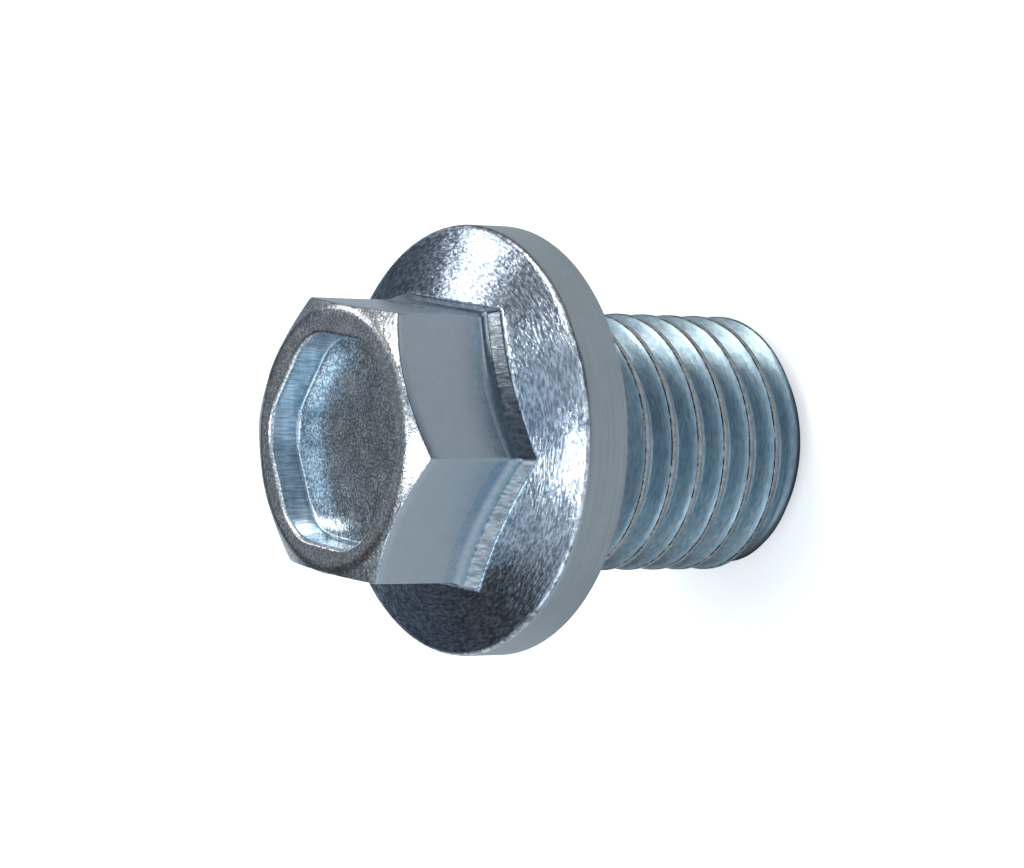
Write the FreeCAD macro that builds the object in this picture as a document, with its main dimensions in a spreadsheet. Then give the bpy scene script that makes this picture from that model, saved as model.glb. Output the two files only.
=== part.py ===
"""Oil drain plug: a cold-forged hexagon head with a weight-saving recess, a wide conical flange that
seals on its underside, and a rolled M12 x 1.5 thread with a chamfered tip. One solid piece of steel.

Frame: millimetres, +Z up through the head, the shank points down. The origin is the centre of the
flat sealing face under the flange, so everything below the flange has a negative Z.
"""

import FreeCAD
import Part
import math
import os
import Sketcher

NODE = "drain_plug"

# Driving sizes, in mm and degrees. Heights above the sealing face and depths below it are both positive.
SIZES = [
    ("across_flats", 11.90, "hexagon, flat to flat"),
    ("head_height", 9.09, "sealing face to the head's front"),
    ("front_inset", 0.10, "from a flat in to the circle where the corner chamfer ends"),
    ("chamfer_angle", 29.0, "corner chamfer, from the front face"),
    ("front_bevel", 0.25, "second, flatter bevel at the front face's edge"),
    ("corner_round", 0.20, "round along the hexagon's upright corners"),
    ("collar_step", 0.32, "how far the collar stands out beyond the flats"),
    ("collar_top", 4.10, "where the collar's upright edge ends"),
    ("flare_height", 4.70, "where the flats start to lean out to the collar"),
    ("flare_round", 0.80, "concave round between a flat and its flare"),
    ("lip_width", 0.95, "from the chamfer's inner circle in to the corners of the recess"),
    ("recess_corner", 2.70, "corner radius of the recess"),
    ("recess_draft", 4.0, "taper of the recess walls"),
    ("recess_depth", 1.59, "front face to the middle of the floor"),
    ("floor_dish", 0.15, "how far the floor's middle lies below its edge"),
    ("recess_bevel", 0.20, "broken edge at the mouth of the recess"),
    ("flange_dia", 19.40, "outside of the flange"),
    ("rim_height", 2.27, "height of the flange's upright rim"),
    ("flange_slope", 17.8, "slope of the flange's upper face"),
    ("rim_bevel", 0.16, "broken edge where the rim meets the slope"),
    ("seat_bevel", 0.20, "broken edge between the rim and the sealing face"),
    ("neck_length", 2.60, "length of the relief between flange and thread"),
    ("neck_clearance", 0.08, "how far the relief lies below the thread's groove"),
    ("neck_bevel", 0.40, "sloped corner between the relief and the sealing face"),
    ("thread_dia", 11.85, "over the thread's crests"),
    ("thread_pitch", 1.50, "advance of one turn"),
    ("thread_depth_ratio", 0.5633, "depth of the groove as a share of the pitch"),
    ("thread_flank", 30.0, "flank angle, from square to the axis"),
    ("crest_width_ratio", 0.187, "flat along the crest as a share of the pitch"),
    ("first_crest", 3.64, "depth of the first crest on the +X side"),
    ("shank_length", 13.60, "sealing face to the tip"),
    ("tip_step", 0.03, "how far the tip's flat end lies inside the groove"),
    ("tip_angle", 45.0, "tip chamfer, from the axis"),
]

doc = FreeCAD.newDocument("oil_drain_plug")
sheet = doc.addObject("Spreadsheet::Sheet", "sizes")
for row, (alias, value, note) in enumerate(SIZES, start=1):
    sheet.set(f"A{row}", alias)
    sheet.set(f"B{row}", str(value))
    sheet.set(f"C{row}", note)
    sheet.setAlias(f"B{row}", alias)
doc.recompute()


def size(alias):
    """A driving size, read from the sheet."""
    return float(sheet.get(alias))


def plane(body, role):
    """One of a body's own origin planes."""
    for feature in body.Origin.OriginFeatures:
        if feature.Role == role:
            return feature


def polygon_sketch(body, name, role, corners):
    """A closed polygon whose corners' coordinates are expressions of the sheet's sizes."""
    sketch = body.newObject("Sketcher::SketchObject", name)
    sketch.AttachmentSupport = [(plane(body, role), "")]
    sketch.MapMode = "FlatFace"
    points = [FreeCAD.Vector(evaluate(u), evaluate(v), 0) for u, v in corners]
    count = len(points)
    for i in range(count):
        sketch.addGeometry(Part.LineSegment(points[i], points[(i + 1) % count]), False)
    for i in range(count):
        sketch.addConstraint(Sketcher.Constraint("Coincident", i, 2, (i + 1) % count, 1))
    for i, (u, v) in enumerate(corners):
        for axis, expression, start in (("DistanceX", u, points[i].x), ("DistanceY", v, points[i].y)):
            index = sketch.addConstraint(Sketcher.Constraint(axis, i, 1, start))
            if expression != "0":
                sketch.setExpression(f"Constraints[{index}]", expression)
    return sketch


def evaluate(expression):
    """The plain number that an expression of the sheet's sizes gives now."""
    result = sheet.evalExpression(expression)
    return float(getattr(result, "Value", result))


def revolve(body, sketch):
    """A full turn of a sketch about the object's axis."""
    turned = body.newObject("PartDesign::Revolution", sketch.Name + "_turned")
    turned.Profile = sketch
    turned.ReferenceAxis = (sketch, ["V_Axis"])
    turned.Angle = 360
    sketch.Visibility = False
    return turned


# Radii and widths that follow from the driving sizes.
front_radius = "(sizes.across_flats / 2 - sizes.front_inset)"
recess_reach = f"({front_radius} - sizes.lip_width)"
recess_half = f"(({recess_reach} - sizes.recess_corner) * cos(30deg) + sizes.recess_corner)"
flange_radius = "(sizes.flange_dia / 2)"
crest_radius = "(sizes.thread_dia / 2)"
crest_width = "(sizes.thread_pitch * sizes.crest_width_ratio)"
groove_depth = "(sizes.thread_pitch * sizes.thread_depth_ratio)"
core_radius = f"({crest_radius} - {groove_depth})"
neck_radius = f"({core_radius} - sizes.neck_clearance)"
tip_radius = f"({core_radius} - sizes.tip_step)"

# Flange, relief, threaded blank and tip: one turned outline, from the axis out and down.
blank = doc.addObject("PartDesign::Body", "flange_and_shank")
cone_top = f"sizes.rim_height + {flange_radius} * tan(sizes.flange_slope * 1deg)"
slope_foot = "sizes.rim_height + sizes.rim_bevel * tan(sizes.flange_slope * 1deg)"
shoulder = f"-(sizes.neck_length + {crest_radius} - {neck_radius})"
tip_start = f"-(sizes.shank_length - ({crest_radius} - {tip_radius}) / tan(sizes.tip_angle * 1deg))"
outline = [
    ("0", cone_top),
    (f"{flange_radius} - sizes.rim_bevel", slope_foot),
    (flange_radius, "sizes.rim_height - sizes.rim_bevel"),
    (flange_radius, "sizes.seat_bevel"),
    (f"{flange_radius} - sizes.seat_bevel", "0"),
    (f"{neck_radius} + sizes.neck_bevel", "0"),
    (neck_radius, "-sizes.neck_bevel"),
    (neck_radius, "-sizes.neck_length"),
    (crest_radius, shoulder),
    (crest_radius, tip_start),
    (tip_radius, "-sizes.shank_length"),
    ("0", "-sizes.shank_length"),
]
revolve(blank, polygon_sketch(blank, "flange_outline", "XZ_Plane", outline))
doc.recompute()

# Hexagon with its collar: three slabs, each a pair of opposite flats that flare out to an upright edge
# above the flange, turned 60 degrees apart. What they share is the hexagon, and their collars meet in
# mitres at its corners.
collar_foot = "sizes.rim_height"
half_flats = "sizes.across_flats / 2"
half_collar = f"({half_flats} + sizes.collar_step)"
slab_outline = [
    (f"-{half_collar}", collar_foot),
    (half_collar, collar_foot),
    (half_collar, "sizes.collar_top"),
    (half_flats, "sizes.flare_height"),
    (half_flats, "sizes.head_height"),
    (f"-{half_flats}", "sizes.head_height"),
    (f"-{half_flats}", "sizes.flare_height"),
    (f"-{half_collar}", "sizes.collar_top"),
]
slabs = []
for pair in range(3):
    slab = doc.addObject("PartDesign::Body", f"flats_{pair + 1}")
    sketch = polygon_sketch(slab, f"flats_outline_{pair + 1}", "XZ_Plane", slab_outline)
    pad = slab.newObject("PartDesign::Pad", f"flats_pad_{pair + 1}")
    pad.Profile = sketch
    pad.SideType = "Symmetric"
    pad.setExpression("Length", "2 * sizes.across_flats")
    sketch.Visibility = False
    doc.recompute()
    bends = []
    for i, edge in enumerate(pad.Shape.Edges, start=1):
        middle = edge.CenterOfMass
        if abs(middle.z - size("flare_height")) < 1e-6 and abs(middle.y) < 1e-6:
            bends.append(f"Edge{i}")
    bend = slab.newObject("PartDesign::Fillet", f"flare_round_{pair + 1}")
    bend.Base = (pad, bends)
    bend.setExpression("Radius", "sizes.flare_round")
    slab.Placement = FreeCAD.Placement(FreeCAD.Vector(), FreeCAD.Rotation(FreeCAD.Vector(0, 0, 1), 60 * pair))
    slabs.append(slab)

# The corner chamfer, the flatter bevel inside it and the front face: a turned cap that trims the
# hexagon's top.
cap = doc.addObject("PartDesign::Body", "corner_chamfer")
cap_radius = "sizes.across_flats"
bevel_top = f"{front_radius} - sizes.front_bevel"
bevel_drop = "sizes.front_bevel * tan(sizes.chamfer_angle / 2 * 1deg)"
cap_drop = f"({cap_radius} - {front_radius}) * tan(sizes.chamfer_angle * 1deg)"
cap_edge = f"sizes.head_height - {bevel_drop} - {cap_drop}"
cap_outline = [
    ("0", "0"),
    (cap_radius, "0"),
    (cap_radius, cap_edge),
    (front_radius, f"sizes.head_height - {bevel_drop}"),
    (bevel_top, "sizes.head_height"),
    ("0", "sizes.head_height"),
]
revolve(cap, polygon_sketch(cap, "cap_outline", "XZ_Plane", cap_outline))
doc.recompute()

hexagon = doc.addObject("Part::MultiCommon", "hexagon_head")
hexagon.Shapes = slabs + [cap]
doc.recompute()

# The upright corners are barely rounded, as the forging die leaves them.
upright = []
for i, edge in enumerate(hexagon.Shape.Edges, start=1):
    middle = edge.CenterOfMass
    start, end = edge.Vertexes[0].Point, edge.Vertexes[-1].Point
    turn = math.degrees(math.atan2(middle.y, middle.x)) % 60
    if abs(turn - 30) < 1 and abs(end.z - start.z) > 0.5 * math.hypot(end.x - start.x, end.y - start.y):
        upright.append((i, size("corner_round"), size("corner_round")))
corners = doc.addObject("Part::Fillet", "rounded_corners")
corners.Base = hexagon
corners.Edges = upright
doc.recompute()

forged = doc.addObject("Part::Fuse", "forged_blank")
forged.Base = blank
forged.Tool = corners

# Recess in the head: a drafted hexagon with wide corners, closed below by a very flat cone.
hollow = doc.addObject("PartDesign::Body", "recess")
opening = hollow.newObject("Sketcher::SketchObject", "recess_outline")
opening.AttachmentSupport = [(plane(hollow, "XY_Plane"), "")]
opening.MapMode = "FlatFace"
opening.setExpression("AttachmentOffset.Base.z", "sizes.head_height")
apothem = evaluate(recess_half)
corner = size("recess_corner")
side = 2 * apothem * math.tan(math.pi / 6)
straight = side - 2 * corner * math.tan(math.pi / 6)
for k in range(6):
    facing = math.radians(60 * k)
    out = FreeCAD.Vector(math.cos(facing), math.sin(facing), 0)
    along = FreeCAD.Vector(-math.sin(facing), math.cos(facing), 0)
    foot = out * apothem
    opening.addGeometry(Part.LineSegment(foot - along * (straight / 2), foot + along * (straight / 2)), False)
    vertex = math.radians(60 * k + 30)
    reach = (apothem - corner) / math.cos(math.pi / 6)
    centre = FreeCAD.Vector(reach * math.cos(vertex), reach * math.sin(vertex), 0)
    circle = Part.Circle(centre, FreeCAD.Vector(0, 0, 1), corner)
    opening.addGeometry(Part.ArcOfCircle(circle, facing, facing + math.pi / 3), False)
for k in range(6):
    line, arc, following = 2 * k, 2 * k + 1, (2 * k + 2) % 12
    opening.addConstraint(Sketcher.Constraint("Tangent", line, 2, arc, 1))
    opening.addConstraint(Sketcher.Constraint("Tangent", arc, 2, following, 1))
    if k == 0:
        index = opening.addConstraint(Sketcher.Constraint("Radius", arc, corner))
        opening.setExpression(f"Constraints[{index}]", "sizes.recess_corner")
    else:
        opening.addConstraint(Sketcher.Constraint("Equal", 1, arc))
    for axis, wave in (("DistanceX", "cos"), ("DistanceY", "sin")):
        expression = f"({recess_reach} - sizes.recess_corner) * {wave}({60 * k + 30}deg)"
        index = opening.addConstraint(Sketcher.Constraint(axis, arc, 3, evaluate(expression)))
        opening.setExpression(f"Constraints[{index}]", expression)
well = hollow.newObject("PartDesign::Pad", "recess_well")
well.Profile = opening
well.Reversed = True
well.setExpression("Length", "2 * sizes.recess_depth")
well.setExpression("TaperAngle", "-sizes.recess_draft")
opening.Visibility = False
dish_radius = f"{recess_half} / cos(30deg)"
dish = doc.addObject("Part::Cone", "floor_cone")
dish.setExpression("Radius1", f"{dish_radius} / 100")
dish.setExpression("Radius2", f"{dish_radius} * (1 + sizes.recess_depth / sizes.floor_dish)")
dish.setExpression("Height", "sizes.floor_dish + sizes.recess_depth")
dish.setExpression("Placement.Base.z", "sizes.head_height - sizes.recess_depth")
dished = doc.addObject("Part::Common", "dished_recess")
dished.Base = hollow
dished.Tool = dish
headed = doc.addObject("Part::Cut", "recessed_head")
headed.Base = forged
headed.Tool = dished
doc.recompute()

# Broken edge at the mouth of the recess.
mouth = []
for i, edge in enumerate(headed.Shape.Edges, start=1):
    box = edge.BoundBox
    if abs(box.ZMin - size("head_height")) < 1e-4 and box.ZLength < 1e-4:
        if len(edge.Vertexes) == 2 and math.hypot(edge.CenterOfMass.x, edge.CenterOfMass.y) > apothem / 2:
            mouth.append((i, size("recess_bevel"), size("recess_bevel")))
lipped = doc.addObject("Part::Chamfer", "recess_lip")
lipped.Base = headed
lipped.Edges = mouth
doc.recompute()

# Thread: a 60 degree groove swept along a right-hand helix, from below the tip up into the relief. Its
# flanks run on past the crests by a quarter of the crest's flat, so neighbouring turns stay apart.
flank = "tan(sizes.thread_flank * 1deg)"
root_half = f"((sizes.thread_pitch - {crest_width}) / 2 - {groove_depth} * {flank})"
mouth_radius = f"{crest_radius} + {crest_width} / 4 / {flank}"
mouth_half = f"(sizes.thread_pitch / 2 - {crest_width} / 4)"
turns_below = "(ceil((sizes.shank_length - sizes.first_crest) / sizes.thread_pitch) + 1)"
helix_start = f"-(sizes.first_crest - sizes.thread_pitch / 2) - sizes.thread_pitch * {turns_below}"
path = doc.addObject("Part::Helix", "thread_path")
path.setExpression("Pitch", "sizes.thread_pitch")
path.setExpression("Radius", core_radius)
path.setExpression("Height", f"-sizes.neck_length / 2 - ({helix_start})")
path.setExpression("Placement.Base.z", helix_start)
path.LocalCoord = "Right-handed"
path.SegmentLength = 1
groove_body = doc.addObject("PartDesign::Body", "groove_section")
groove = polygon_sketch(
    groove_body,
    "groove_outline",
    "XZ_Plane",
    [
        (core_radius, f"({helix_start}) - {root_half}"),
        (mouth_radius, f"({helix_start}) - {mouth_half}"),
        (mouth_radius, f"({helix_start}) + {mouth_half}"),
        (core_radius, f"({helix_start}) + {root_half}"),
    ],
)
cutter = doc.addObject("Part::Sweep", "thread_groove")
cutter.Sections = [groove]
cutter.Spine = (path, [])
cutter.Solid = True
cutter.Frenet = True
doc.recompute()

plug = doc.addObject("Part::Cut", "plug")
plug.Label = NODE
plug.Base = lipped
plug.Tool = cutter
doc.recompute()

# Nothing is written unless every object is sound and the plug is one closed solid.
for item in doc.Objects:
    if "Invalid" in item.State or "Error" in item.State:
        raise SystemExit(f"{item.Name} failed: {item.State} {item.getStatusString()}")
if plug.Shape.isNull() or not plug.Shape.isValid():
    raise SystemExit("the plug's shape is not valid")
if len(plug.Shape.Solids) != 1:
    raise SystemExit(f"the plug has {len(plug.Shape.Solids)} solids")
box = plug.Shape.optimalBoundingBox()
print(f"{NODE}: {plug.Shape.Volume:.2f} mm3, z {box.ZMin:.3f} to {box.ZMax:.3f}, across {box.XLength:.3f}")
os.makedirs("parts", exist_ok=True)
plug.Shape.exportStep(f"parts/{NODE}.step")
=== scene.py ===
"""Looks of the oil drain plug: one fine mesh of the zinc-plated plug in place of the plain solid, its
procedural finishes, a pale floor, soft studio light and the camera.

Lengths in the sizes below are millimetres, as in the part's own drawing; points become metres when the
mesh is made. Azimuths are degrees from +X, and +Z runs up through the head.
"""

import math

import bmesh
import bpy
import numpy as np
from mathutils import Matrix, Vector, noise


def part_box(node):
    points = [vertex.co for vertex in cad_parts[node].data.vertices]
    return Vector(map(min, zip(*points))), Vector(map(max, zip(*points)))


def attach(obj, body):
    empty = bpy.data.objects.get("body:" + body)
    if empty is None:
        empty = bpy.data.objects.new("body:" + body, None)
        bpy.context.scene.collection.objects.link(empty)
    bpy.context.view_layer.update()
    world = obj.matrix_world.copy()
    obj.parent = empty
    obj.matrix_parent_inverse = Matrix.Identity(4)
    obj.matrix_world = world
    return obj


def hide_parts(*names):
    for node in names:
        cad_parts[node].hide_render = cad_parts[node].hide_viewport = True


MM = 0.001
NODE = "drain_plug"

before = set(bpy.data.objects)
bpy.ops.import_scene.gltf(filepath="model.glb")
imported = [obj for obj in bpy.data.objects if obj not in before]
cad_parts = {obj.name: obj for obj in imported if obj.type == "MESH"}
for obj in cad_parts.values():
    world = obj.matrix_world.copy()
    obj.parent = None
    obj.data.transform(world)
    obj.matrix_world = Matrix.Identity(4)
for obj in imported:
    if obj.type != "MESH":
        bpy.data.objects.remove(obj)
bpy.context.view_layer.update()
node_low, node_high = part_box(NODE)

# Overall sizes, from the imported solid.
HEAD_HEIGHT = node_high.z / MM
SHANK_LENGTH = -node_low.z / MM
FLANGE_RADIUS = min(node_high.x, node_high.y) / MM

# Hexagon head.
HALF_FLATS = 5.95
CORNER_ROUND = 0.20
FRONT_CORNER_RADIUS = 5.733
FRONT_ROUND = 1.00
CHAMFER_ANGLE = 29.0
CHAMFER_ROUND = 0.10

# Recess in the front, which lies a little off the axis towards -X.
RECESS_HALF = 4.605
RECESS_CORNER = 2.70
RECESS_DRAFT = 4.0
RECESS_DEPTH = 1.57
RECESS_SHIFT = 0.10
FLOOR_DISH = 0.13
FLOOR_ROUND = 0.20
LIP_ROUND = 0.22

# Collar at the foot of the flats: a concave flare, then a nearly upright strip that stands on the flange.
COLLAR_HALF = 6.12
COLLAR_FOOT_HALF = 6.27
COLLAR_TOP = 4.12
COLLAR_FALL = 0.36
FLARE_END_ANGLE = 27.0
COLLAR_EDGE_ROUND = 0.06
COLLAR_FOOT_ROUND = 0.20

# Worn end of one strip: its azimuth and reach in degrees, and what it adds to the flare's end angle and
# to the round of the strip's upper edge.
WORN_AZIMUTH = -36.0
WORN_SPAN = 13.0
WORN_LEAN = 20.0
WORN_ROUND = 0.05

# Flange.
RIM_HEIGHT = 2.27
FLANGE_SLOPE = 17.8
RIM_ROUND = 0.32
SEAT_ROUND = 0.20

# Relief, thread and tip.
NECK_RADIUS = 5.00
NECK_LENGTH = 2.60
NECK_ROUND = 0.40
CREST_RADIUS = 5.925
CORE_RADIUS = 5.08
PITCH = 1.50
CREST_WIDTH = 0.28
FLANK_ANGLE = 30.0
FIRST_CREST = 3.64
TIP_RADIUS = 5.05
TIP_ROUND = 0.15
TIP_REACH = TIP_ROUND * 0.6

# Camera, fitted to the photograph: its place and aim in millimetres, and its turn about its own axis.
CAMERA_PLACE = (18.560, -152.347, 111.918)
CAMERA_AIM = (0.347, -0.333, -0.506)
CAMERA_ROLL = -89.345
SENSOR_WIDTH = 36.0
FOCAL_LENGTH = 147.66
CLIP_START = 0.005
CLIP_END = 10.0

# Mesh columns: one about every degree and a half, closer beside the hexagon's corners.
CORNER_STEPS = (0.0, 0.3, 0.6, 0.9, 1.3, 2.0, 3.2, 4.8)
FLAT_STEPS = 16
SEAM_AZIMUTH = 90.0

# Steps along each stretch and each round of the section.
STEPS = {
    "floor": 14,
    "floor_round": 7,
    "wall": 7,
    "lip_round": 6,
    "front": 4,
    "front_round": 6,
    "chamfer": 5,
    "chamfer_round": 5,
    "flat": 9,
    "flare": 8,
    "edge_round": 4,
    "collar": 5,
    "foot_round": 5,
    "cone": 16,
    "rim_round": 6,
    "rim": 7,
    "seat_round": 5,
    "seat": 7,
    "neck_round": 6,
    "neck": 6,
    "tip_round": 4,
    "tip": 6,
}


def column_azimuths():
    """Azimuths of all columns from the seam once round; the last one repeats the first."""
    half_sector = list(CORNER_STEPS) + list(np.linspace(CORNER_STEPS[-1], 30.0, FLAT_STEPS + 1)[1:])
    sector = half_sector + [60.0 - step for step in reversed(half_sector[1:-1])]
    columns = [SEAM_AZIMUTH + 60.0 * k + step for k in range(6) for step in sector]
    return np.array(columns + [SEAM_AZIMUTH + 360.0])


AZIMUTH = column_azimuths()
FROM_FLAT = np.radians((AZIMUTH + 30.0) % 60.0 - 30.0)
TAN_30 = math.tan(math.pi / 6)
COS_30 = math.cos(math.pi / 6)


def hexagon(half, corner):
    """Distance from the axis to a hexagon with rounded corners, in every column."""
    centre = (half - corner) / COS_30
    off_corner = math.pi / 6 - np.abs(FROM_FLAT)
    on_flat = half / np.cos(FROM_FLAT)
    on_round = centre * np.cos(off_corner)
    on_round = on_round + np.sqrt(np.maximum(corner**2 - (centre * np.sin(off_corner)) ** 2, 0))
    return np.where(np.tan(np.abs(FROM_FLAT)) > (half - corner) * TAN_30 / half, on_round, on_flat)


def recess(half):
    """Distance from the axis to the recess's outline, whose corner rounds share their centres."""
    return hexagon(half, half - (RECESS_HALF - RECESS_CORNER)) - RECESS_SHIFT * np.cos(np.radians(AZIMUTH))


def collar_outline(half):
    """Distance from the axis to the outline of the flare and the collar."""
    return hexagon(half, CORNER_ROUND)


def spread(value):
    """A value in every column."""
    return np.broadcast_to(np.asarray(value, float), AZIMUTH.shape)


def point(across, height):
    """A section point in every column: distance from the axis, or square to the flats, and height."""
    return np.stack([spread(across), spread(height)], axis=-1)


def unit(vector):
    """A vector of the same direction and of length 1."""
    return vector / np.linalg.norm(vector, axis=-1, keepdims=True)


def rounded(before, corner, after, radius, steps):
    """Rows of the round of that radius at a corner of the section."""
    back = unit(before - corner)
    onward = unit(after - corner)
    half = 0.5 * np.arccos(np.clip(np.sum(back * onward, axis=-1), -1, 1))[:, None]
    centre = corner + unit(back + onward) * radius / np.sin(half)
    start = corner + back * radius / np.tan(half) - centre
    end = corner + onward * radius / np.tan(half) - centre
    sweep = math.pi - 2 * half
    round_rows = []
    for share in np.linspace(0, 1, steps + 1):
        arm = np.sin((1 - share) * sweep) * start + np.sin(share * sweep) * end
        round_rows.append(centre + arm / np.sin(sweep))
    return round_rows


def run(start, end, steps):
    """Rows that divide the straight stretch between two rows, without the rows themselves."""
    return [start + (end - start) * k / steps for k in range(1, steps)]


def turned(section_rows, outline):
    """Rows whose first coordinate is measured square to the flats, as rows measured from the axis."""
    return [np.stack([outline(row[:, 0]), row[:, 1]], axis=-1) for row in section_rows]


# The section's rows, from the middle of the recess outward and down to the middle of the tip. Every row
# names the zone of the band that ends at it, and most rounds are shared by the zones on their two sides.
rows = []
zones = []


def add_rows(zone, new_rows):
    """Rows at the section's end, all in one zone."""
    rows.extend(new_rows)
    zones.extend([zone] * len(new_rows))


def recess_rows():
    """Dished floor, drafted walls and rounded lip."""
    floor_height = HEAD_HEIGHT - RECESS_DEPTH
    foot_half = RECESS_HALF - (RECESS_DEPTH - FLOOR_DISH) * math.tan(math.radians(RECESS_DRAFT))
    middle = point(0, floor_height)
    foot = point(foot_half, floor_height + FLOOR_DISH)
    mouth = point(RECESS_HALF, HEAD_HEIGHT)
    beyond = point(RECESS_HALF + 1, HEAD_HEIGHT)
    floor_round = turned(rounded(middle, foot, mouth, FLOOR_ROUND, STEPS["floor_round"]), recess)
    lip_round = turned(rounded(foot, mouth, beyond, LIP_ROUND, STEPS["lip_round"]), recess)
    add_rows("floor", [middle] + run(middle, floor_round[0], STEPS["floor"]))
    add_rows("floor", floor_round[:4])
    add_rows("wall", floor_round[4:])
    add_rows("wall", run(floor_round[-1], lip_round[0], STEPS["wall"]))
    add_rows("wall", lip_round[:2])
    add_rows("front", lip_round[2:])


def head_rows():
    """Front ring, corner chamfer and the upper edge of the flats."""
    fall = math.tan(math.radians(CHAMFER_ANGLE))
    flats = hexagon(HALF_FLATS, CORNER_ROUND)
    inner = rows[-1]
    front_corner = point(FRONT_CORNER_RADIUS, HEAD_HEIGHT)
    chamfer_end = point(flats, HEAD_HEIGHT - (flats - FRONT_CORNER_RADIUS) * fall)
    middle = point(0, HEAD_HEIGHT)
    flat_foot = point(flats, 0)
    front_round = rounded(middle, front_corner, chamfer_end, FRONT_ROUND, STEPS["front_round"])
    edge_round = rounded(front_corner, chamfer_end, flat_foot, CHAMFER_ROUND, STEPS["chamfer_round"])
    add_rows("front", run(inner, front_round[0], STEPS["front"]))
    add_rows("front", front_round)
    add_rows("front", run(front_round[-1], edge_round[0], STEPS["chamfer"]))
    add_rows("front", edge_round[:5])
    add_rows("flat", edge_round[5:])


def collar_rows():
    """Flats, the concave flare below each, the collar's leaning strip and its foot on the flange."""
    edge_radius = collar_outline(spread(COLLAR_HALF))
    edge_height = COLLAR_TOP - COLLAR_FALL * (edge_radius - COLLAR_HALF)
    worn = np.exp(-((((AZIMUTH - WORN_AZIMUTH + 180) % 360) - 180) / WORN_SPAN) ** 2)
    end_angle = np.radians(FLARE_END_ANGLE + WORN_LEAN * worn)
    flare_round = (COLLAR_HALF - HALF_FLATS) / (1 - np.cos(end_angle))
    flare_top = edge_height + flare_round * np.sin(end_angle)
    foot_radius = collar_outline(spread(COLLAR_FOOT_HALF))
    foot_height = RIM_HEIGHT + (FLANGE_RADIUS - foot_radius) * math.tan(math.radians(FLANGE_SLOPE))
    flare = []
    for k in range(STEPS["flare"]):
        turn = end_angle * k / STEPS["flare"]
        half = HALF_FLATS + flare_round * (1 - np.cos(turn))
        flare.append(point(half, flare_top - flare_round * np.sin(turn)))
    edge = point(COLLAR_HALF, edge_height)
    strip_foot = point(COLLAR_FOOT_HALF, foot_height)
    edge_size = (COLLAR_EDGE_ROUND + WORN_ROUND * worn)[:, None]
    edge_round = rounded(flare[-1], edge, strip_foot, edge_size, STEPS["edge_round"])
    flare = turned(flare, collar_outline)
    edge_round = turned(edge_round, collar_outline)
    foot = point(foot_radius, foot_height)
    rim = point(FLANGE_RADIUS, RIM_HEIGHT)
    foot_round = rounded(edge_round[-1], foot, rim, COLLAR_FOOT_ROUND, STEPS["foot_round"])
    add_rows("flat", run(rows[-1], flare[0], STEPS["flat"]))
    add_rows("flare", flare)
    add_rows("collar", edge_round)
    add_rows("collar", run(edge_round[-1], foot_round[0], STEPS["collar"]))
    add_rows("collar", foot_round[:2])
    add_rows("cone", foot_round[2:])


def flange_rows():
    """Conical upper face, rounded rim, flat sealing face, the round into the relief and the relief."""
    rim = point(FLANGE_RADIUS, RIM_HEIGHT)
    seat = point(FLANGE_RADIUS, 0)
    root = point(NECK_RADIUS, 0)
    neck_end = point(NECK_RADIUS, -NECK_LENGTH)
    rim_round = rounded(rows[-1], rim, seat, RIM_ROUND, STEPS["rim_round"])
    seat_round = rounded(rim, seat, root, SEAT_ROUND, STEPS["seat_round"])
    neck_round = rounded(seat, root, neck_end, NECK_ROUND, STEPS["neck_round"])
    add_rows("cone", run(rows[-1], rim_round[0], STEPS["cone"]))
    add_rows("cone", rim_round[:2])
    add_rows("edge", rim_round[2:5])
    add_rows("rim", rim_round[5:])
    add_rows("rim", run(rim_round[-1], seat_round[0], STEPS["rim"]))
    add_rows("rim", seat_round[:3])
    add_rows("seat", seat_round[3:])
    add_rows("seat", run(seat_round[-1], neck_round[0], STEPS["seat"]))
    add_rows("seat", neck_round)
    add_rows("neck", run(neck_round[-1], neck_end, STEPS["neck"]))


THREAD_DEPTH = CREST_RADIUS - CORE_RADIUS
FLANK_WIDTH = THREAD_DEPTH * math.tan(math.radians(FLANK_ANGLE))
FLANK_SHARES = (0.30, 0.65)
CREST_EDGE = CREST_WIDTH / 2
ROOT_EDGE = CREST_EDGE + FLANK_WIDTH
EDGE_EASE = 0.035
CREST_SAG = 0.004
ROOT_RISE = 0.008
RUN_OUT_BLEND = 0.10
CREST_ROWS = 3

# Half a pitch of the thread's section, from a crest's middle to the groove's: axial distance and radius.
HALF_THREAD = (
    (0.0, CREST_RADIUS),
    (CREST_EDGE - EDGE_EASE, CREST_RADIUS - CREST_SAG),
    (CREST_EDGE + EDGE_EASE * 0.4, CREST_RADIUS - EDGE_EASE * 1.1),
    *((CREST_EDGE + FLANK_WIDTH * share, CREST_RADIUS - THREAD_DEPTH * share) for share in FLANK_SHARES),
    (ROOT_EDGE - EDGE_EASE, CORE_RADIUS + EDGE_EASE * 2.2),
    (ROOT_EDGE + EDGE_EASE, CORE_RADIUS + ROOT_RISE),
    (PITCH / 2, CORE_RADIUS),
)


def soft_min(a, b, blend):
    """The smaller of two values, with a smooth change from one to the other."""
    near = np.maximum(blend - np.abs(a - b), 0) / blend
    return np.minimum(a, b) - near**2 * blend / 4


def thread_zone(step, count):
    """The zone of one of a turn's rows: first the crest's, last a thin line of painted shade beside the
    next crest.
    """
    if step < CREST_ROWS:
        return "crest"
    return "crest_shade" if step == count - 1 else "thread"


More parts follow.
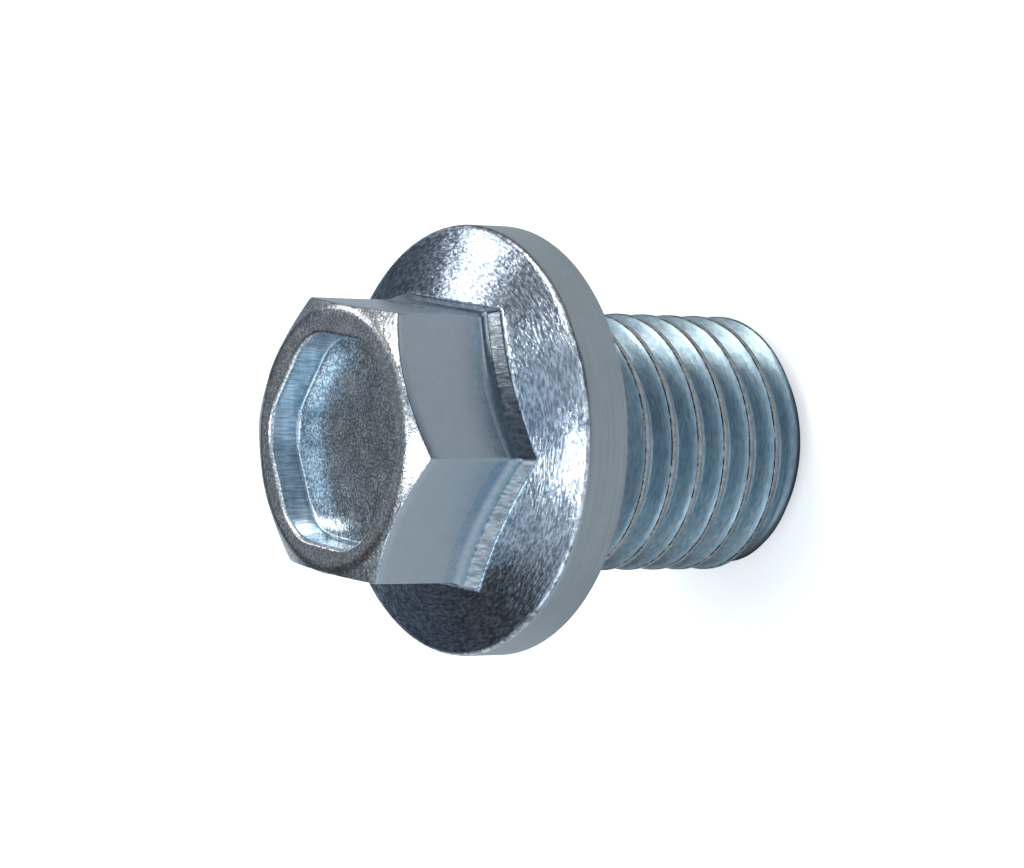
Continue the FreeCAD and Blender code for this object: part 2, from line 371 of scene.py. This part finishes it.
def thread_rows():
    """Rows that follow the helix; above the thread and below the tip they collapse onto its ends."""
    other_half = [(PITCH - depth, radius) for depth, radius in reversed(HALF_THREAD[1:-1])]
    downward = list(HALF_THREAD) + other_half
    turns = math.ceil((SHANK_LENGTH - NECK_LENGTH) / PITCH) + 2
    crest_at_seam = -FIRST_CREST + PITCH * SEAM_AZIMUTH / 360
    top = crest_at_seam + PITCH * math.ceil((-NECK_LENGTH - crest_at_seam) / PITCH)
    for turn in range(turns):
        for step, (depth, radius) in enumerate(downward):
            height = top - PITCH * turn - depth + PITCH * (AZIMUTH - SEAM_AZIMUTH) / 360
            above = height >= -NECK_LENGTH
            below = height <= -SHANK_LENGTH + TIP_ROUND
            shoulder = NECK_RADIUS + (-NECK_LENGTH - height)
            tip_cone = TIP_RADIUS + (height + SHANK_LENGTH)
            reach = soft_min(soft_min(spread(radius), shoulder, RUN_OUT_BLEND), tip_cone, RUN_OUT_BLEND)
            reach = np.where(above, NECK_RADIUS, np.where(below, TIP_RADIUS + TIP_REACH, reach))
            height = np.clip(height, -SHANK_LENGTH + TIP_ROUND, -NECK_LENGTH)
            add_rows(thread_zone(step, len(downward)), [np.stack([reach, height], axis=-1)])


def tip_rows():
    """Rounded edge and flat end of the tip."""
    for k in range(1, STEPS["tip_round"] + 1):
        angle = math.pi / 2 * k / STEPS["tip_round"]
        inward = TIP_REACH + TIP_ROUND * (math.cos(angle) - 1)
        add_rows("tip", [point(TIP_RADIUS + inward, -SHANK_LENGTH + TIP_ROUND * (1 - math.sin(angle)))])
    middle = point(0, -SHANK_LENGTH)
    add_rows("tip", run(rows[-1], middle, STEPS["tip"]) + [middle])


# The skin's zones, from the recess's floor to the tip. Rows that follow the helix don't close on
# themselves, so their last column has points of its own.
ZONES = (
    "floor", "wall", "front", "flat", "flare", "collar", "cone", "edge", "rim", "seat", "neck",
    "thread", "crest", "crest_shade", "tip",
)
HELICAL = ("thread", "crest", "crest_shade")
MERGE_DISTANCE = 0.002
TINY = 1e-9

# Unevenness left by forging and tumbling: its depth and size in millimetres, the share and scale of the
# finer waves in it, and how deep each zone has it.
FORGED_DENT = 0.015
DENT_SIZE = 1.3
FINE_DENT_SHARE = 0.5
FINE_DENT_SCALE = 0.45
DENTED = {"flat": 0.5, "cone": 1.0, "rim": 0.5, "floor": 1.6, "front": 0.8, "collar": 0.6}


def dent_depth(place, zone):
    """How far a point is sunk, in millimetres."""
    wave = noise.noise(Vector(place) / DENT_SIZE)
    wave = wave + FINE_DENT_SHARE * noise.noise(Vector(place) / (DENT_SIZE * FINE_DENT_SCALE))
    return FORGED_DENT * DENTED[zone] * (0.5 + 0.5 * max(-1.0, min(1.0, wave)))


def grid_places():
    """The place of every row in every column, and the outward direction there."""
    section = np.array(rows)
    turn = np.radians(AZIMUTH)
    across = section[:, :, 0]
    places = np.stack([across * np.cos(turn), across * np.sin(turn), section[:, :, 1]], axis=-1)
    outward = np.cross(np.gradient(places, axis=0), np.gradient(places, axis=1))
    lengths = np.linalg.norm(outward, axis=-1, keepdims=True)
    return places, np.where(lengths > TINY, outward / np.maximum(lengths, TINY), 0)


def skin_mesh():
    """The closed skin, with each zone's material index on its faces."""
    places, outward = grid_places()
    shape = bmesh.new()
    grid = []
    for i, zone in enumerate(zones):
        line = []
        for place, direction in zip(places[i, :-1], outward[i, :-1]):
            if zone in DENTED:
                place = place - direction * dent_depth(place, zone)
            line.append(shape.verts.new(place * MM))
        line.append(shape.verts.new(places[i, -1] * MM) if zone in HELICAL else line[0])
        grid.append(line)
    for upper, lower, zone in zip(grid, grid[1:], zones[1:]):
        for j in range(len(upper) - 1):
            face = shape.faces.new([upper[j], upper[j + 1], lower[j + 1], lower[j]])
            face.material_index = ZONES.index(zone)
            face.smooth = True
    bmesh.ops.remove_doubles(shape, verts=shape.verts, dist=MERGE_DISTANCE * MM)
    bmesh.ops.recalc_face_normals(shape, faces=shape.faces)
    mesh = bpy.data.meshes.new("plug_skin")
    shape.to_mesh(mesh)
    shape.free()
    return mesh


def make_plug():
    """The plug as one closed mesh, with a material for each zone."""
    recess_rows()
    head_rows()
    collar_rows()
    flange_rows()
    thread_rows()
    tip_rows()
    piece = bpy.data.objects.new("plug_skin", skin_mesh())
    bpy.context.scene.collection.objects.link(piece)
    weighted = piece.modifiers.new("even_normals", "WEIGHTED_NORMAL")
    weighted.keep_sharp = True
    for zone in ZONES:
        piece.data.materials.append(zinc(zone))
    return piece


def add_node(tree, kind, inputs=None, **settings):
    """A node with its settings, and its inputs as values or links."""
    node = tree.nodes.new(kind)
    for name, value in settings.items():
        setattr(node, name, value)
    for name, value in (inputs or {}).items():
        if isinstance(value, bpy.types.NodeSocket):
            tree.links.new(value, node.inputs[name])
        else:
            node.inputs[name].default_value = value
    return node


def opaque(colour):
    """A colour of three channels with full cover."""
    return (*colour, 1.0)


def grey(value):
    """A neutral colour."""
    return opaque((value, value, value))


def ramp(tree, factor, low, high):
    """A colour ramp between two stops, each a position and a colour."""
    node = add_node(tree, "ShaderNodeValToRGB", {"Fac": factor})
    start, end = node.color_ramp.elements
    start.position, start.color = low
    end.position, end.color = high
    return node.outputs["Color"]


def mix_colours(tree, share, first, second):
    """The second colour by its share, and the first one by the rest."""
    return add_node(tree, "ShaderNodeMix", {0: share, 6: first, 7: second}, data_type="RGBA").outputs[2]


def plain_coordinates(tree):
    """The object's own coordinates, in millimetres."""
    place = add_node(tree, "ShaderNodeTexCoord").outputs["Object"]
    scaled = add_node(tree, "ShaderNodeVectorMath", {0: place, 1: (1 / MM,) * 3}, operation="MULTIPLY")
    return scaled.outputs["Vector"]


def turned_coordinates(tree, place):
    """Coordinates that change slowly round the axis: the unit direction from it, and radius less height."""
    split = add_node(tree, "ShaderNodeSeparateXYZ", {0: place})
    flat = add_node(tree, "ShaderNodeCombineXYZ", {0: split.outputs[0], 1: split.outputs[1]}).outputs[0]
    radius = add_node(tree, "ShaderNodeVectorMath", {0: flat}, operation="LENGTH").outputs["Value"]
    facing = add_node(tree, "ShaderNodeVectorMath", {0: flat}, operation="NORMALIZE").outputs[0]
    circle = add_node(tree, "ShaderNodeSeparateXYZ", {0: facing})
    along = add_node(tree, "ShaderNodeMath", {0: radius, 1: split.outputs[2]}, operation="SUBTRACT")
    joined = {0: circle.outputs[0], 1: circle.outputs[1], 2: along.outputs[0]}
    return add_node(tree, "ShaderNodeCombineXYZ", joined).outputs[0]


NOISE_DETAIL = 3.0
NOISE_ROUGHNESS = 0.55


def noise_height(tree, place, lumps, detail=NOISE_DETAIL):
    """Noise with that many lumps to the unit along each axis."""
    scaled = add_node(tree, "ShaderNodeVectorMath", {0: place, 1: lumps}, operation="MULTIPLY")
    values = {"Vector": scaled.outputs[0], "Scale": 1.0, "Detail": detail, "Roughness": NOISE_ROUGHNESS}
    return add_node(tree, "ShaderNodeTexNoise", values).outputs["Fac"]


def grain_height(tree, place, kind, lumps):
    """Noise in the object's own coordinates, or in those turned about the axis."""
    base = turned_coordinates(tree, place) if kind == "turned" else place
    return noise_height(tree, base, lumps)


def bump(tree, height, depth, normal):
    """A bump whose full height is depth millimetres, on top of an earlier one if there is one."""
    values = {"Height": height, "Distance": depth * MM}
    if normal is not None:
        values["Normal"] = normal
    return add_node(tree, "ShaderNodeBump", values).outputs["Normal"]


# Large blotches, which take a share of every zone's grain, and the small lumps that vary the roughness.
BLOTCH_SHARE = 0.25
BLOTCH_LUMPS = (1.1, 1.1, 1.1)
ROUGH_LUMPS = (4, 4, 4)
ROUGH_DETAIL = 2.0
ROUGH_LIMITS = (0.3, 0.7)

# Each zone's finish: its darker and lighter colour; the grain that mixes them as its coordinates, lumps to
# the millimetre and limits; its roughness range; and its bumps as coordinates, lumps and depth in
# millimetres. In turned coordinates the first two numbers are lumps to the unit circle's radius.
FINISHES = {
    "floor": {
        "colours": ((0.25, 0.29, 0.32), (0.94, 0.98, 1.00)),
        "grain": ("plain", (9, 10, 9), 0.44, 0.63),
        "rough": (0.16, 0.24),
        "bumps": [("plain", (9, 11, 9), 0.012)],
    },
    "wall": {
        "colours": ((0.36, 0.52, 0.62), (0.84, 0.93, 1.00)),
        "grain": ("plain", (14, 14, 0.15), 0.36, 0.60),
        "rough": (0.16, 0.22),
        "bumps": [("plain", (14, 14, 0.15), 0.008)],
    },
    "front": {
        "colours": ((0.44, 0.46, 0.48), (1.00, 1.00, 1.00)),
        "grain": ("plain", (9, 9, 9), 0.44, 0.62),
        "rough": (0.16, 0.26),
        "bumps": [("plain", (5, 5, 5), 0.018)],
    },
    "flat": {
        "colours": ((0.50, 0.54, 0.57), (0.58, 0.61, 0.63)),
        "grain": ("plain", (9, 9, 9), 0.30, 0.70),
        "rough": (0.28, 0.32),
        "bumps": [("plain", (1.6, 1.6, 1.6), 0.003)],
    },
    "flare": {
        "colours": ((0.44, 0.51, 0.56), (0.52, 0.59, 0.65)),
        "grain": ("plain", (5, 5, 1), 0.35, 0.65),
        "rough": (0.22, 0.28),
        "bumps": [("plain", (6, 6, 1), 0.004)],
    },
    "collar": {
        "colours": ((0.34, 0.37, 0.40), (0.80, 0.86, 0.90)),
        "grain": ("plain", (6, 6, 1.5), 0.40, 0.65),
        "rough": (0.16, 0.24),
        "bumps": [("plain", (14, 14, 1.6), 0.006)],
    },
    "cone": {
        "colours": ((0.27, 0.32, 0.40), (0.82, 0.91, 1.00)),
        "grain": ("turned", (24, 24, 7), 0.40, 0.62),
        "rough": (0.11, 0.18),
        "bumps": [("plain", (3.5, 3.5, 3.5), 0.010), ("turned", (14, 14, 7), 0.022)],
    },
    "edge": {
        "colours": ((0.30, 0.32, 0.35), (1.00, 1.00, 1.00)),
        "grain": ("plain", (3, 3, 3), 0.40, 0.62),
        "rough": (0.20, 0.30),
        "bumps": [("plain", (3, 3, 3), 0.040)],
    },
    "rim": {
        "colours": ((0.43, 0.45, 0.45), (0.55, 0.57, 0.57)),
        "grain": ("turned", (1.5, 1.5, 12), 0.30, 0.70),
        "rough": (0.30, 0.36),
        "bumps": [("turned", (1, 1, 14), 0.002)],
    },
    "seat": {
        "colours": ((0.70, 0.74, 0.78), (0.85, 0.88, 0.92)),
        "grain": ("turned", (3, 3, 8), 0.30, 0.70),
        "rough": (0.26, 0.36),
        "bumps": [("turned", (3, 3, 8), 0.004)],
    },
    # The neck's plating colour, darkened with painted shade for the flange's shadow that it mirrors.
    "neck": {
        "colours": ((0.24, 0.32, 0.39), (0.38, 0.48, 0.56)),
        "grain": ("plain", (6, 6, 6), 0.30, 0.70),
        "rough": (0.26, 0.36),
        "bumps": [("plain", (6, 6, 6), 0.004)],
    },
    # The thread's plating colour, darkened with painted shade for the flange's shadow that it mirrors.
    "thread": {
        "colours": ((0.26, 0.36, 0.42), (0.46, 0.57, 0.62)),
        "grain": ("turned", (12, 12, 8), 0.35, 0.65),
        "rough": (0.30, 0.40),
        "bumps": [("plain", (6, 6, 6), 0.008)],
    },
    "crest": {
        "colours": ((0.42, 0.40, 0.38), (0.70, 0.67, 0.62)),
        "grain": ("plain", (5, 5, 5), 0.35, 0.65),
        "rough": (0.26, 0.36),
        "bumps": [("plain", (5, 5, 5), 0.006)],
    },
    # Painted shade: a thin dark line beside each crest, on its side towards the head.
    "crest_shade": {
        "colours": ((0.03, 0.03, 0.03), (0.42, 0.40, 0.38)),
        "grain": ("plain", (2.5, 2.5, 2.5), 0.46, 0.62),
        "rough": (0.30, 0.40),
        "bumps": [("plain", (5, 5, 5), 0.010)],
    },
    # Painted shade: the tip's dark colours stand in for the shadowed floor that it mirrors where it stands.
    "tip": {
        "colours": ((0.14, 0.15, 0.16), (0.22, 0.23, 0.24)),
        "grain": ("plain", (5, 5, 5), 0.30, 0.70),
        "rough": (0.26, 0.36),
        "bumps": [("plain", (5, 5, 5), 0.006)],
    },
}

# Painted shade near the tip: the height at which the thread's colours turn into the tip's dark colour, and
# over what distance below it.
TIP_SHADE_TOP = -12.60
TIP_SHADE_FADE = 0.25


def zinc(zone):
    """Blue-tinted zinc plating with the finish of one zone, whose thread zones darken into the tip's
    painted shade near the tip.
    """
    finish = FINISHES[zone]
    material = bpy.data.materials.new("zinc_" + zone)
    material.use_nodes = True
    tree = material.node_tree
    shader = tree.nodes["Principled BSDF"]
    shader.inputs["Metallic"].default_value = 1.0
    place = plain_coordinates(tree)
    dark, light = finish["colours"]
    kind, lumps, low, high = finish["grain"]
    blotches = noise_height(tree, place, BLOTCH_LUMPS)
    grain = grain_height(tree, place, kind, lumps)
    mixed = add_node(tree, "ShaderNodeMix", {0: BLOTCH_SHARE, 2: grain, 3: blotches}).outputs[0]
    colour = ramp(tree, mixed, (low, opaque(dark)), (high, opaque(light)))
    # Painted shade: the thread's zones darken into the tip's dark colour near the tip.
    if zone in HELICAL:
        height = add_node(tree, "ShaderNodeSeparateXYZ", {0: place}).outputs[2]
        limits = {"Value": height, "From Min": TIP_SHADE_TOP - TIP_SHADE_FADE, "From Max": TIP_SHADE_TOP}
        above = add_node(tree, "ShaderNodeMapRange", limits).outputs[0]
        colour = mix_colours(tree, above, opaque(FINISHES["tip"]["colours"][0]), colour)
    tree.links.new(colour, shader.inputs["Base Color"])
    smooth, rough = finish["rough"]
    fine = noise_height(tree, place, ROUGH_LUMPS, ROUGH_DETAIL)
    roughness = ramp(tree, fine, (ROUGH_LIMITS[0], grey(smooth)), (ROUGH_LIMITS[1], grey(rough)))
    tree.links.new(roughness, shader.inputs["Roughness"])
    normal = None
    for kind, lumps, depth in finish["bumps"]:
        normal = bump(tree, grain_height(tree, place, kind, lumps), depth, normal)
    tree.links.new(normal, shader.inputs["Normal"])
    return material


# Studio floor: what the eye sees of it.
FLOOR_HALF = 2.0
SEEN_FLOOR = ((0.89, 0.88, 0.87), (0.91, 0.90, 0.89))
SEEN_GRAIN = 30.0
SEEN_LIMITS = (0.3, 0.7)
SEEN_ROUGHNESS = 0.9
SEEN_SHEEN = 0.1
SEEN_GLOW = 0.56

# What the plug mirrors of it: colours on the -X and +X sides, near and far, with the limits between the
# sides, and the distances from the axis in metres between which near turns into far.
NEAR_FLOOR = ((0.53, 0.56, 0.58), (0.50, 0.53, 0.55))
FAR_FLOOR = ((0.76, 0.79, 0.80), (0.07, 0.08, 0.10))
NEAR_SIDES = (0.0, 1.0)
FAR_SIDES = (0.25, 0.75)
FLOOR_TURN = (0.040, 0.060)


def shaded(tree, factor, limits, colours):
    """A ramp between two colours of three channels, between two limits."""
    return ramp(tree, factor, (limits[0], opaque(colours[0])), (limits[1], opaque(colours[1])))


def floor_material():
    """White card for the eye; what the plug mirrors is greyer, and further away darker on one side."""
    material = bpy.data.materials.new("pale_floor")
    material.use_nodes = True
    tree = material.node_tree
    place = add_node(tree, "ShaderNodeTexCoord").outputs["Object"]
    grain = add_node(tree, "ShaderNodeTexNoise", {"Vector": place, "Scale": SEEN_GRAIN}).outputs["Fac"]
    seen = tree.nodes["Principled BSDF"]
    tree.links.new(shaded(tree, grain, SEEN_LIMITS, SEEN_FLOOR), seen.inputs["Base Color"])
    seen.inputs["Roughness"].default_value = SEEN_ROUGHNESS
    seen.inputs["Specular IOR Level"].default_value = SEEN_SHEEN
    seen.inputs["Emission Color"].default_value = grey(1.0)
    seen.inputs["Emission Strength"].default_value = SEEN_GLOW
    facing = add_node(tree, "ShaderNodeVectorMath", {0: place}, operation="NORMALIZE").outputs["Vector"]
    side = add_node(tree, "ShaderNodeVectorMath", {0: facing, 1: (1, 0, 0)}, operation="DOT_PRODUCT")
    limits = {"Value": side.outputs["Value"], "From Min": -1, "From Max": 1}
    share = add_node(tree, "ShaderNodeMapRange", limits).outputs[0]
    near = shaded(tree, share, NEAR_SIDES, NEAR_FLOOR)
    far = shaded(tree, share, FAR_SIDES, FAR_FLOOR)
    reach = add_node(tree, "ShaderNodeVectorMath", {0: place}, operation="LENGTH").outputs["Value"]
    limits = {"Value": reach, "From Min": FLOOR_TURN[0], "From Max": FLOOR_TURN[1]}
    away = add_node(tree, "ShaderNodeMapRange", limits, interpolation_type="SMOOTHSTEP").outputs[0]
    mirrored = add_node(tree, "ShaderNodeBsdfDiffuse", {"Color": mix_colours(tree, away, near, far)})
    eye = add_node(tree, "ShaderNodeLightPath").outputs["Is Camera Ray"]
    mixed = add_node(tree, "ShaderNodeMixShader", {0: eye, 1: mirrored.outputs[0], 2: seen.outputs[0]})
    tree.links.new(mixed.outputs[0], tree.nodes["Material Output"].inputs["Surface"])
    return material


def make_floor():
    """A pale floor under the tip."""
    mesh = bpy.data.meshes.new("floor")
    low, high = -FLOOR_HALF, FLOOR_HALF
    corners = [(x, y, node_low.z) for x, y in ((low, low), (high, low), (high, high), (low, high))]
    mesh.from_pydata(corners, [], [(0, 1, 2, 3)])
    floor = bpy.data.objects.new("floor", mesh)
    floor.data.materials.append(floor_material())
    bpy.context.scene.collection.objects.link(floor)


# Soft panels that face the plug: name, direction, distance, width and height in metres, brightness next to
# a white of 1, and colour. The small card is what the upper end of one collar strip mirrors.
LIGHTS = (
    ("key", (0.33, 0.75, 0.575), 0.40, 0.080, 0.095, 3.4, (0.97, 0.98, 1.0)),
    ("upper", (0.47, 0.22, 0.855), 0.40, 0.05, 0.06, 14.0, (1.0, 1.0, 1.0)),
    ("side", (0.76, 0.27, 0.59), 0.40, 0.16, 0.20, 4.6, (1.0, 1.0, 0.98)),
    ("corner", (-0.08, 0.29, 0.95), 0.40, 0.025, 0.035, 26.0, (0.9, 0.97, 1.0)),
    ("card", (0.813, -0.567, -0.128), 0.0423, 0.0040, 0.0050, 2.6, (0.92, 0.97, 1.0)),
    ("head_side", (-0.10, -0.06, 0.99), 0.40, 0.14, 0.08, 6.0, (1.0, 0.98, 0.95)),
)


def area_light(name, direction, distance, width, height, radiance, colour):
    """One of the soft panels."""
    data = bpy.data.lights.new(name, "AREA")
    data.shape = "RECTANGLE"
    data.size, data.size_y = width, height
    data.energy = radiance * math.pi * width * height
    data.color = colour
    light = bpy.data.objects.new(name, data)
    toward = Vector(direction).normalized()
    light.location = toward * distance
    light.rotation_euler = toward.to_track_quat("Z", "Y").to_euler()
    bpy.context.scene.collection.objects.link(light)


# Surroundings that the plug mirrors: a plain sky with broad soft patches, each with its direction, the
# cosines where it is full and where it ends, and its colour.
SKY = (0.46, 0.52, 0.58)
PATCHES = (
    ((-0.25, 0.90, 0.33), 0.93, 0.72, (0.06, 0.075, 0.10)),
    ((-0.10, 0.80, 0.59), 0.985, 0.93, (0.21, 0.235, 0.26)),
    ((-0.42, 0.60, 0.66), 0.985, 0.93, (0.055, 0.06, 0.065)),
    ((0.53, 0.46, 0.71), 0.985, 0.93, (0.14, 0.14, 0.15)),
    ((0.00, -0.75, 0.66), 0.75, 0.60, (0.58, 0.70, 0.84)),
    ((0.66, -0.48, 0.58), 0.985, 0.95, (0.95, 1.14, 1.28)),
    ((-0.76, -0.34, 0.56), 0.985, 0.93, (1.50, 1.78, 2.00)),
    ((0.74, -0.65, 0.10), 0.97, 0.86, (0.06, 0.09, 0.13)),
    ((-0.85, -0.51, 0.12), 0.97, 0.86, (0.25, 0.45, 0.60)),
)

# Backdrop that the eye sees instead.
BACKDROP = 0.90


def make_world():
    """A plain pale backdrop for the eye; the plug mirrors a sky with darker and brighter patches."""
    world = bpy.data.worlds.new("studio")
    bpy.context.scene.world = world
    world.use_nodes = True
    tree = world.node_tree
    direction = add_node(tree, "ShaderNodeTexCoord").outputs["Generated"]
    colour = opaque(SKY)
    for toward, full, end, tint in PATCHES:
        axis = Vector(toward).normalized()
        facing = add_node(tree, "ShaderNodeVectorMath", {0: direction, 1: axis}, operation="DOT_PRODUCT")
        limits = {"Value": facing.outputs["Value"], "From Min": end, "From Max": full}
        share = add_node(tree, "ShaderNodeMapRange", limits, interpolation_type="SMOOTHSTEP").outputs[0]
        colour = mix_colours(tree, share, colour, opaque(tint))
    eye = add_node(tree, "ShaderNodeLightPath").outputs["Is Camera Ray"]
    colour = mix_colours(tree, eye, colour, grey(BACKDROP))
    background = tree.nodes["Background"]
    tree.links.new(colour, background.inputs["Color"])
    background.inputs["Strength"].default_value = 1.0


def make_camera():
    """The photograph's viewing angle; the plug lies across the picture with its head to the left."""
    data = bpy.data.cameras.new("camera")
    data.sensor_width = SENSOR_WIDTH
    data.lens = FOCAL_LENGTH
    data.clip_start = CLIP_START
    data.clip_end = CLIP_END
    camera = bpy.data.objects.new("camera", data)
    place = Vector(CAMERA_PLACE) * MM
    look = (Vector(CAMERA_AIM) * MM - place).to_track_quat("-Z", "Y").to_matrix().to_4x4()
    roll = Matrix.Rotation(math.radians(CAMERA_ROLL), 4, "Z")
    camera.matrix_world = Matrix.Translation(place) @ look @ roll
    bpy.context.scene.collection.objects.link(camera)
    bpy.context.scene.camera = camera


plug = make_plug()
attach(plug, "root")
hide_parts(NODE)

make_floor()
make_world()
for light in LIGHTS:
    area_light(*light)
make_camera()
bpy.context.scene.view_settings.view_transform = "Standard"
